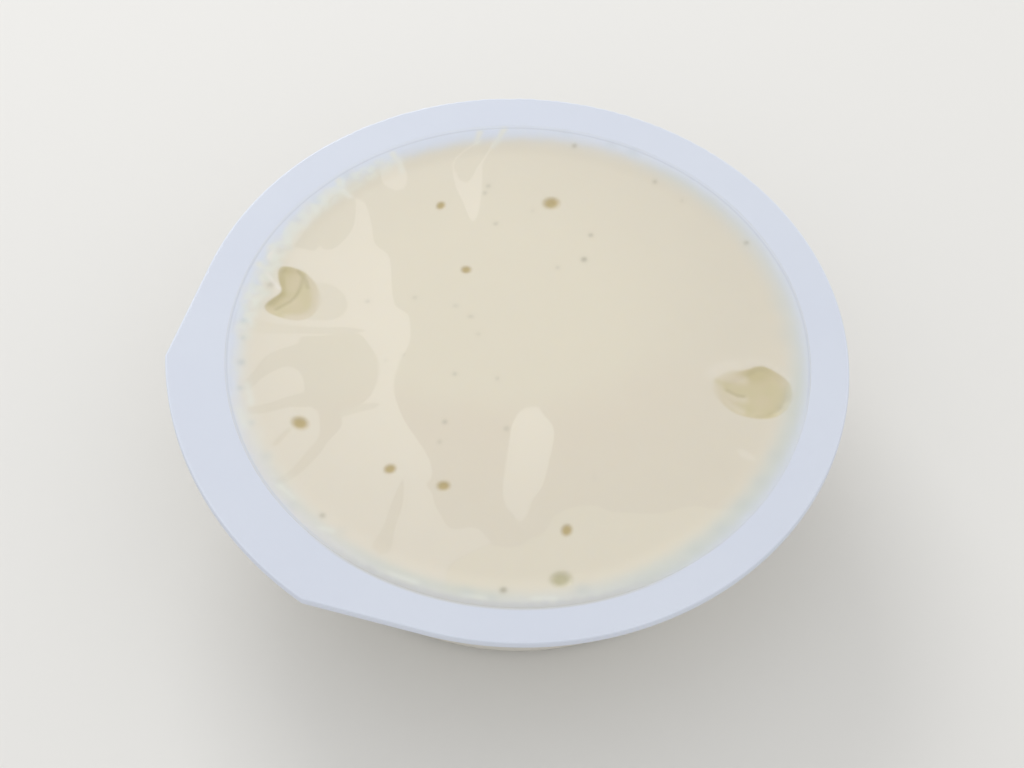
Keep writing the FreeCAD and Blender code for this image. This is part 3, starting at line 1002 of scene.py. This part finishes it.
def moulded_polypropylene(tones):
    """White polypropylene, formed from sheet: a soft satin with a faint cool cast.

    The thin body wall lets the cream filling warm it, while the flange stays cool white, with
    a faint cloud. At the front a grey shadow follows the mouth.
    """
    material, tree = new_material("moulded_polypropylene")
    position, noises = place_and_noises(tree, CUP_NOISES)
    place, flat, radius = plan_place(tree, position)
    towards = (*directions(FRONT_DIRECTION), 0.0)
    along = add_node(tree, "VectorMath", {0: flat, 1: towards}, "Value", operation="DOT_PRODUCT")
    cosine = add_node(tree, "Math", {0: along, 1: radius}, operation="DIVIDE")
    underside = CUP_HEIGHT - FLANGE_THICKNESS
    shares = {}
    for name, value, start, full in (
        ("cloud", noises["cloud"], 0.3, 0.7),
        ("flange", place["Z"], (underside - 0.4) * MM, (underside + 0.3) * MM),
        ("front", cosine, 0.74, 0.94),
        ("band", radius, (MOUTH_RADIUS + 0.65) * MM, (MOUTH_RADIUS + 0.25) * MM),
    ):
        inputs = {"Value": value, "From Min": start, "From Max": full}
        shares[name] = add_node(tree, "MapRange", inputs, **EVEN_S)
    band = shares["band"]
    for name in ("front", "flange"):
        band = add_node(tree, "Math", {0: band, 1: shares[name]}, operation="MULTIPLY")
    inputs = {0: shares["cloud"], 6: tones["flange"], 7: tones["flange_shade"]}
    cool = add_node(tree, "Mix", inputs, 2, **COLOUR_MIX)
    colour = tones["wall"]
    for factor, tone in ((shares["flange"], cool), (band, tones["band"])):
        colour = add_node(tree, "Mix", {0: factor, 6: colour, 7: tone}, 2, **COLOUR_MIX)
    roughness = add_node(tree, "MapRange", {"Value": noises["grain"], "To Min": 0.5, "To Max": 0.6})
    inputs = {"Base Color": colour, "Roughness": roughness, "IOR": 1.49}
    finish_surface(tree, noises["grain"], 0.06, 0.02, inputs)
    return material


def whipped_mousse(tones):
    """Cheese mousse, whipped and poured: fine and matt, glossy where it wets the film.

    It is paler where the film stands off it, a painted reflection of the film over the air gap,
    deeper in the hollows and burst bubbles, and thins to the cup's white over the shoulder. The
    wet mousse is greener in the middle and pinker towards the near right. Wet and dry mousse
    darken towards the wall, a painted shade round a painted pool of light. In the hollows, light
    and shade are painted: paler on the lit walls and folds, darker in the deep corners, on the
    shaded walls and in the creases, with a painted highlight along the far rim of the right one.
    The marks are laid over that.
    """
    material, tree = new_material("whipped_mousse")
    position, noises = place_and_noises(tree, MOUSSE_NOISES)
    place, flat, radius = plan_place(tree, position)
    # Distance from the middle of the pool of light painted on the mousse; the painted shade towards the
    # wall follows it
    palest = (LIGHT_POOL_MIDDLE[0] * MM, LIGHT_POOL_MIDDLE[1] * MM, MOUSSE_TOP * MM)
    from_light_pool = add_node(tree, "VectorMath", {0: position, 1: palest}, "Value", operation="DISTANCE")
    # Towards the near right: half of X past 6 mm, less Y, drifting by 6 mm from cloud to cloud
    inputs = {0: noises["drift"], 1: 6 * MM, 2: -3 * MM}
    drift = add_node(tree, "Math", inputs, operation="MULTIPLY_ADD")
    right = add_node(tree, "Math", {0: place["X"], 1: 6 * MM}, operation="SUBTRACT")
    right = add_node(tree, "Math", {0: right, 1: 0.0}, operation="MAXIMUM")
    right = add_node(tree, "Math", {0: right, 1: 0.5, 2: drift}, operation="MULTIPLY_ADD")
    near_right = add_node(tree, "Math", {0: right, 1: place["Y"]}, operation="SUBTRACT")
    # Patches are frayed by up to a share of a millimetre
    fray = add_node(tree, "Math", {0: noises["fray"], 1: 0.5}, operation="SUBTRACT")
    frayed = {}
    for number, swing in (("thin", 0.3), ("dry", 0.25)):
        stored = add_node(tree, "Attribute", output="Fac", attribute_name=number)
        frayed[number] = add_node(tree, "Math", {0: fray, 1: swing, 2: stored}, operation="MULTIPLY_ADD")
    # Distance from the thin shadow's middle along the mouth, in millimetres
    line_place = add_node(tree, "Attribute", output="Fac", attribute_name="line_place")
    inputs = {0: radius, 1: -1 / MM, 2: MOUTH_RADIUS}
    inward = add_node(tree, "Math", inputs, operation="MULTIPLY_ADD")
    from_line = add_node(tree, "Math", {0: inward, 1: line_place}, operation="SUBTRACT")
    from_line = add_node(tree, "Math", {0: from_line}, operation="ABSOLUTE")
    shares = {}
    for name, value, start, full in (
        ("pink", near_right, 4 * MM, 12 * MM),
        ("wall", from_light_pool, 11 * MM, 36 * MM),
        ("thin", frayed["thin"], -0.15, 0.2),
        ("dry", frayed["dry"], -0.12, 0.12),
        ("tone", noises["tone"], 0.35, 0.65),
        ("olive", place["Y"], -28 * MM, -31 * MM),
        ("froth", noises["froth"], 0.42, 0.58),
        ("line", from_line, 0.2, 0.02),
    ):
        inputs = {"Value": value, "From Min": start, "From Max": full}
        shares[name] = add_node(tree, "MapRange", inputs, **EVEN_S)
    tones = dict(tones)
    # The dry colour darkens towards the wall with the same painted shade as the wet one
    for tone, name, other in (
        ("dry", "wall", "dry_edge"), ("hollow", "tone", "hollow_warm"), ("burst", "olive", "burst_olive")
    ):
        inputs = {0: shares[name], 6: tones[tone], 7: tones[other]}
        tones[tone] = add_node(tree, "Mix", inputs, 2, **COLOUR_MIX)
    tones["hollow"] = lay_over(tree, tones["hollow"], HOLLOW_LAYERS, tones, {})
    # Painted shade: the wet colour darkens with the distance from the painted pool of light, towards the
    # wall
    colour = tones["wet"]
    for factor, tone in (
        (shares["pink"], "wet_pink"),
        (held_back(tree, shares["wall"], shares["pink"], 0.25), "wet_shaded"),
        (shares["thin"], "thin"),
        (held_back(tree, shares["dry"], shares["thin"], 0.85), "dry"),
    ):
        colour = add_node(tree, "Mix", {0: factor, 6: colour, 7: tones[tone]}, 2, **COLOUR_MIX)
    # Froth is soft clouds over a fainter ground
    froth = add_node(tree, "Math", {0: shares["froth"], 1: 0.6, 2: 0.4}, operation="MULTIPLY_ADD")
    colour = lay_over(tree, colour, MOUSSE_LAYERS, tones, {"froth": froth, "line": shares["line"]})
    roughness = add_node(tree, "MapRange", {"Value": shares["dry"], "To Min": 0.34, "To Max": 0.5})
    inputs = {
        "Base Color": colour,
        "Roughness": roughness,
        "IOR": 1.38,
        "Subsurface Weight": 0.15,
        "Subsurface Radius": (1.0, 0.8, 0.5),
        "Subsurface Scale": 0.3 * MM,
    }
    finish_surface(tree, noises["pores"], 0.1, 0.03, inputs)
    return material


def clear_polyester_film(tones):
    """Clear polyester lidding film, heat sealed: seen only by its gloss, most at a glancing angle.

    Only the faces that a ray meets from outside reflect. Inside so thin a film a reflection
    at the far face would be counted twice.
    """
    material, tree = new_material("clear_polyester_film")
    clear = add_node(tree, "BsdfTransparent", {"Color": tones["film"]})
    gloss = add_node(tree, "BsdfGlossy", {"Color": (1, 1, 1, 1), "Roughness": 0.12})
    fresnel = add_node(tree, "Fresnel", {"IOR": 1.5})
    from_inside = add_node(tree, "NewGeometry", output="Backfacing")
    gloss_share = held_back(tree, fresnel, from_inside, 1.0)
    surface = add_node(tree, "MixShader", {0: gloss_share, 1: clear, 2: gloss})
    add_node(tree, "OutputMaterial", {"Surface": surface})
    return material


def pale_paper(tones):
    """Plain pale paper for the floor, matt."""
    material, tree = new_material("pale_paper")
    noises = place_and_noises(tree, PAPER_NOISES)[1]
    finish_surface(tree, noises["fibre"], 0.05, 0.05, {"Base Color": tones["floor"], "Roughness": 0.9})
    return material


# ---------------------------------------------------------------- film

FLAT_START = 0.4  # of the film's flat rings, outside the mouth
RING_CROWDING = 0.8  # below 1 the rings inside the mouth lie closer towards it
CREASE_RIDGE = 0.03
CREASE_RIDGE_WIDTH = 0.5
FILM_CREASES = [
    [(-33.6, -4.0), (-30.0, -2.4), (-26.5, -1.4), (-22.0, -1.0)],
    [(-32.9, -10.4), (-30.1, -9.5), (-27.4, -8.2), (-24.0, -7.6)],
    [(-28.4, -20.4), (-26.0, -16.8), (-23.4, -12.8), (-21.0, -10.4)],
    [(-34.0, 4.4), (-30.0, 3.4), (-25.0, 3.6), (-21.0, 3.6)],
    [(-15.6, -30.4), (-14.8, -26.0), (-14.0, -21.0)],
]


def film_height(plan):
    """Height of the film's underside: level on the flange, dipping to lie on the mousse.

    A few creases run in from the wall by the tab, each a low ridge with a bell-shaped section.
    """
    down = slope_share(plan)
    level = FILM_DIP + (CUP_HEIGHT + FILM_SEAT - FILM_DIP) * down
    return level + CREASE_RIDGE * soft_lines(plan, FILM_CREASES, CREASE_RIDGE_WIDTH) * (1 - down)


# ---------------------------------------------------------------- settings


class MousseCupSizes(bpy.types.PropertyGroup):
    """Sizes that a user would change in the scene alone."""

    disc_cells: bpy.props.IntProperty(
        name="Surface cells", description="Cells across the mousse's surface", default=250, min=40, max=260
    )
    film_rings: bpy.props.IntProperty(
        name="Film rings", description="Rings of the film inside the mouth", default=56, min=8, max=80
    )
    lens: bpy.props.FloatProperty(
        name="Lens", description="Focal length in millimetres", default=100.4, min=20, max=200
    )
    lamp_power: bpy.props.FloatProperty(
        name="Lamp power", description="Power of the large soft lamp", default=1.86, min=0, unit="POWER"
    )
    sky_strength: bpy.props.FloatProperty(
        name="Sky strength", description="Strength of the even light from all round", default=0.85, min=0
    )


def colour_property(name, description, default):
    """Text setting that holds an sRGB hex colour."""
    return bpy.props.StringProperty(name=name, description=description, default=default)


class MousseCupColours(bpy.types.PropertyGroup):
    """Colours of the pieces, as sRGB hex values."""

    flange: colour_property("Flange", "Cool white of the flange", "#D7DDE9")
    flange_shade: colour_property("Flange shade", "Faint cloud in the flange", "#D5DBE8")
    wall: colour_property("Wall", "Body wall, warmed by the filling", "#D9D6CE")
    wet: colour_property("Wet mousse", "Mousse touching the film", "#E2DBC8")
    wet_pink: colour_property("Pinker wet mousse", "Mousse touching the film, near right", "#E0D7C5")
    # Wet mousse darkened towards the wall, a painted shade
    wet_shaded: colour_property("Wet mousse by the wall", "The same towards the wall", "#DCD5C4")
    # Thinly wetted and dry mousse are painted paler where the film stands off, a painted reflection of the
    # film over the air gap
    thin: colour_property("Thinly wetted", "Mousse thinly wetting the film", "#E0D9C7")
    dry: colour_property("Dry mousse", "Mousse where the film stands off", "#E9E2D1")
    # Dry mousse darkened towards the wall, a painted shade; the same colour paints the highlight along the
    # right hollow's far rim
    dry_edge: colour_property("Dry mousse by the wall", "The same towards the wall", "#E1DACA")
    hollow: colour_property("Hollow", "Mousse in the hollows", "#CFC5A0")
    hollow_warm: colour_property("Warm hollow", "Browner part of the hollows", "#D2C6A6")
    # Painted light on the hollows' lit walls and folds, and painted shade in their deep corners, on their
    # shaded walls and in their creases
    hollow_lit_grey: colour_property("Grey hollow", "Shallow part of the hollows", "#CFC6AE")
    hollow_olive_shade: colour_property("Olive hollow", "Deep corners of the hollows", "#C7BC90")
    fold: colour_property("Fold", "Pale fold in a hollow", "#DAD0BA")
    crease: colour_property("Crease", "Creases in the hollows", "#B6AC84")
    burst: colour_property("Burst bubble", "Bottom of a burst bubble", "#BBA979")
    burst_olive: colour_property("Olive bubble", "Bottom of the bubble by the front", "#BEB896")
    speck: colour_property("Speck", "Small bubbles", "#ADA894")
    rim: colour_property("Thin rim", "Thin mousse over the white shoulder", "#D7DDE8")
    # Painted shade where the white half shows through the thinning mousse
    veil: colour_property("Veil", "Half-hidden white", "#C3CBBF")
    strand: colour_property("Strand", "Strands that reach to the wall", "#E5E7DE")
    blot: colour_property("Blot", "Greyer marks by the wall", "#B8C2C2")
    froth: colour_property("Froth", "Froth by the tab", "#E5E9DF")
    nick: colour_property("Nick", "White nicks beside a hollow", "#EDE8E0")
    line: colour_property("Line", "Thin shadow along the mouth", "#CBD0D9")
    band: colour_property("Band", "Wider shadow along the mouth's front", "#CBCCCB")
    film: colour_property("Film", "Tint of the clear film", "#FEFEFE")
    floor: colour_property("Floor", "Plain pale floor", "#E4E3E0")


def scene_tones(context):
    """Linear colours of the scene's settings, by name."""
    colours = context.scene.mousse_cup_colours
    return {name: linear(getattr(colours, name)) for name in MousseCupColours.__annotations__}


# ---------------------------------------------------------------- operators

FLOOR_HALF_SIZE = 3000.0
LAMP_SIZE = (0.36, 0.32)  # metres, as its place is
LAMP_PLACE = (-0.23, 0.55, 0.37)
SENSOR_WIDTH = 36.0
CLIP_START = 0.01
CAMERA_RIGHT = (0.99905, 0.03605, 0.02456)
CAMERA_UP = (-0.04362, 0.82561, 0.56256)
CAMERA_PLACE = (-0.64, -207.0, 297.3)  # from the middle of the flange's edge


class MOUSSE_OT_cup(bpy.types.Operator):
    """Builds the flanged cup with its opening tab"""

    bl_idname = "mousse_cup.cup"
    bl_label = "Cup"

    def execute(self, context):
        cup = make_ringed("flanged_cup", cup_rings(), (0, WALL_THICKNESS))
        cup.data.materials.append(moulded_polypropylene(scene_tones(context)))
        settle(cup, "cup")
        return {"FINISHED"}


class MOUSSE_OT_mousse(bpy.types.Operator):
    """Builds the mousse with its hollows, burst bubbles and paler patches"""

    bl_idname = "mousse_cup.mousse"
    bl_label = "Mousse"

    def execute(self, context):
        cells = context.scene.mousse_cup_sizes.disc_cells
        brim = MOUTH_RADIUS + WALL_REACH
        radius = brim - NARROW
        plan = disc_points(radius, cells)
        plan = crowd(plan, radius)
        fields = mousse_fields(plan)
        surface = np.column_stack([plan, mousse_relief(plan, fields)])
        grid = np.arange((cells + 1) ** 2).reshape(cells + 1, cells + 1)
        corners = (grid[:-1, :-1], grid[1:, :-1], grid[1:, 1:], grid[:-1, 1:])
        faces = np.stack(corners, axis=-1).reshape(-1, 4).tolist()
        # Under the surface's rim hang the rings of its body, down to a pole
        rim = disc_rim(cells)
        towards = plan[rim] / radius
        depth = WALL_THICKNESS - WALL_REACH
        section = rounded_profile(body_corners(depth, brim), MOUSSE_FINENESS)[::-1]
        section = np.vstack([(brim, CUP_HEIGHT + BRIM_HEIGHT), section])
        rings = [np.column_stack([towards * reach, np.full(len(rim), height)]) for reach, height in section]
        points = np.concatenate([surface] + rings + [[[0, 0, depth]]])
        start = len(surface)
        around = len(rim)
        index = np.vstack([rim, start + np.arange(len(rings) * around).reshape(len(rings), around)])
        following = np.roll(index, -1, axis=1)
        quads = np.stack([index[:-1], index[1:], following[1:], following[:-1]], axis=-1).reshape(-1, 4)
        pole = np.full(around, len(points) - 1)
        fan = np.stack([index[-1], pole, following[-1]], axis=-1)
        faces += quads.tolist() + fan.tolist()
        below = len(points) - len(surface)
        filled = {
            name: np.append(values, np.full(below, BELOW.get(name, 0.0))) for name, values in fields.items()
        }
        mousse = make_object("cheese_mousse", points, faces, filled)
        mousse.data.materials.append(whipped_mousse(scene_tones(context)))
        settle(mousse, "mousse")
        return {"FINISHED"}


class MOUSSE_OT_film(bpy.types.Operator):
    """Builds the clear film sealed over the mouth"""

    bl_idname = "mousse_cup.film"
    bl_label = "Film"

    def execute(self, context):
        inner = np.linspace(0, 1, context.scene.mousse_cup_sizes.film_rings + 1)[1:] ** RING_CROWDING
        edge = inset_ring(FILM_INSET, 0)
        start = round_ring(MOUTH_RADIUS + FLAT_START, 0)
        rings = [round_ring(MOUTH_RADIUS * share, 0) for share in inner]
        flat_end = inset_ring(FILM_INSET + NARROW, 0)
        rings += [start] + between(start, flat_end, 5)
        rings += [inset_ring(FILM_INSET + 2 * NARROW, 0), flat_end, edge]
        stack = np.array(rings)
        flat = stack.reshape(-1, 3)
        under = stack.copy()
        under[..., 2] = film_height(flat[:, :2]).reshape(stack.shape[:2])
        upper = under.copy()
        thickness = FILM_TOP - CUP_HEIGHT - FILM_SEAT
        upper[:-1, :, 2] += thickness
        upper[-1, :, 2] += FILM_EDGE_THICKNESS
        rings = list(under) + list(upper[::-1])
        film = make_ringed("sealed_film", rings, (FILM_DIP, FILM_DIP + thickness))
        film.data.materials.append(clear_polyester_film(scene_tones(context)))
        settle(film, "lid_film")
        return {"FINISHED"}


class MOUSSE_OT_stage(bpy.types.Operator):
    """Builds the floor, the soft light and the camera"""

    bl_idname = "mousse_cup.stage"
    bl_label = "Stage"

    def execute(self, context):
        scene = context.scene
        sizes = scene.mousse_cup_sizes
        scene.view_settings.view_transform = "Standard"
        half = FLOOR_HALF_SIZE
        corners = [(-half, -half, 0), (half, -half, 0), (half, half, 0), (-half, half, 0)]
        floor = make_object("floor", corners, [[0, 1, 2, 3]])
        floor.data.materials.append(pale_paper(scene_tones(context)))
        world = bpy.data.worlds.new("even_sky")
        world.use_nodes = True
        background = world.node_tree.nodes["Background"]
        background.inputs["Color"].default_value = (1.0, 1.0, 1.0, 1.0)
        background.inputs["Strength"].default_value = sizes.sky_strength
        scene.world = world
        lamp_data = bpy.data.lights.new("soft_box", "AREA")
        lamp_data.shape = "RECTANGLE"
        lamp_data.size, lamp_data.size_y = LAMP_SIZE
        lamp_data.energy = sizes.lamp_power
        lamp = bpy.data.objects.new("soft_box", lamp_data)
        scene.collection.objects.link(lamp)
        aim(lamp, LAMP_PLACE, (0, 0, CUP_HEIGHT * MM))
        camera_data = bpy.data.cameras.new("camera")
        camera_data.lens = sizes.lens
        camera_data.sensor_width = SENSOR_WIDTH
        camera_data.clip_start = CLIP_START
        camera = bpy.data.objects.new("camera", camera_data)
        scene.collection.objects.link(camera)
        place_camera(camera)
        scene.camera = camera
        return {"FINISHED"}


def aim(thing, place, target):
    """Puts a lamp at a place and turns it to face a target."""
    thing.location = place
    thing.rotation_euler = (Vector(target) - Vector(place)).to_track_quat("-Z", "Y").to_euler()


def place_camera(camera):
    """Looks down on the cup from the front, a little rolled, from about 36 cm away."""
    right = Vector(CAMERA_RIGHT).normalized()
    back = right.cross(Vector(CAMERA_UP)).normalized()
    up = back.cross(right)
    middle = Vector((0, 0, CUP_HEIGHT - FLANGE_THICKNESS / 2))
    turn = Matrix((right, up, back)).transposed().to_4x4()
    camera.matrix_world = Matrix.Translation((Vector(CAMERA_PLACE) + middle) * MM) @ turn


class MOUSSE_PT_panel(bpy.types.Panel):
    """Lists the pieces of the mousse cup"""

    bl_idname = "MOUSSE_PT_panel"
    bl_label = "Mousse Cup"
    bl_space_type = "VIEW_3D"
    bl_region_type = "UI"
    bl_category = "Mousse Cup"

    def draw(self, context):
        column = self.layout.column()
        for settings in (context.scene.mousse_cup_sizes, context.scene.mousse_cup_colours):
            for name in settings.__annotations__:
                column.prop(settings, name)
        for operator in OPERATORS:
            column.operator(operator.bl_idname)


OPERATORS = (MOUSSE_OT_cup, MOUSSE_OT_mousse, MOUSSE_OT_film, MOUSSE_OT_stage)
CLASSES = (MousseCupSizes, MousseCupColours) + OPERATORS + (MOUSSE_PT_panel,)


def register():
    """Registers the classes and their settings."""
    for item in CLASSES:
        bpy.utils.register_class(item)
    bpy.types.Scene.mousse_cup_sizes = bpy.props.PointerProperty(type=MousseCupSizes)
    bpy.types.Scene.mousse_cup_colours = bpy.props.PointerProperty(type=MousseCupColours)


def unregister():
    """Takes the classes and their settings away again."""
    del bpy.types.Scene.mousse_cup_colours
    del bpy.types.Scene.mousse_cup_sizes
    for item in reversed(CLASSES):
        bpy.utils.unregister_class(item)


def main():
    """Builds every piece and the stage."""
    register()
    bpy.ops.mousse_cup.cup()
    bpy.ops.mousse_cup.mousse()
    bpy.ops.mousse_cup.film()
    bpy.ops.mousse_cup.stage()


if __name__ == "__main__":
    main()
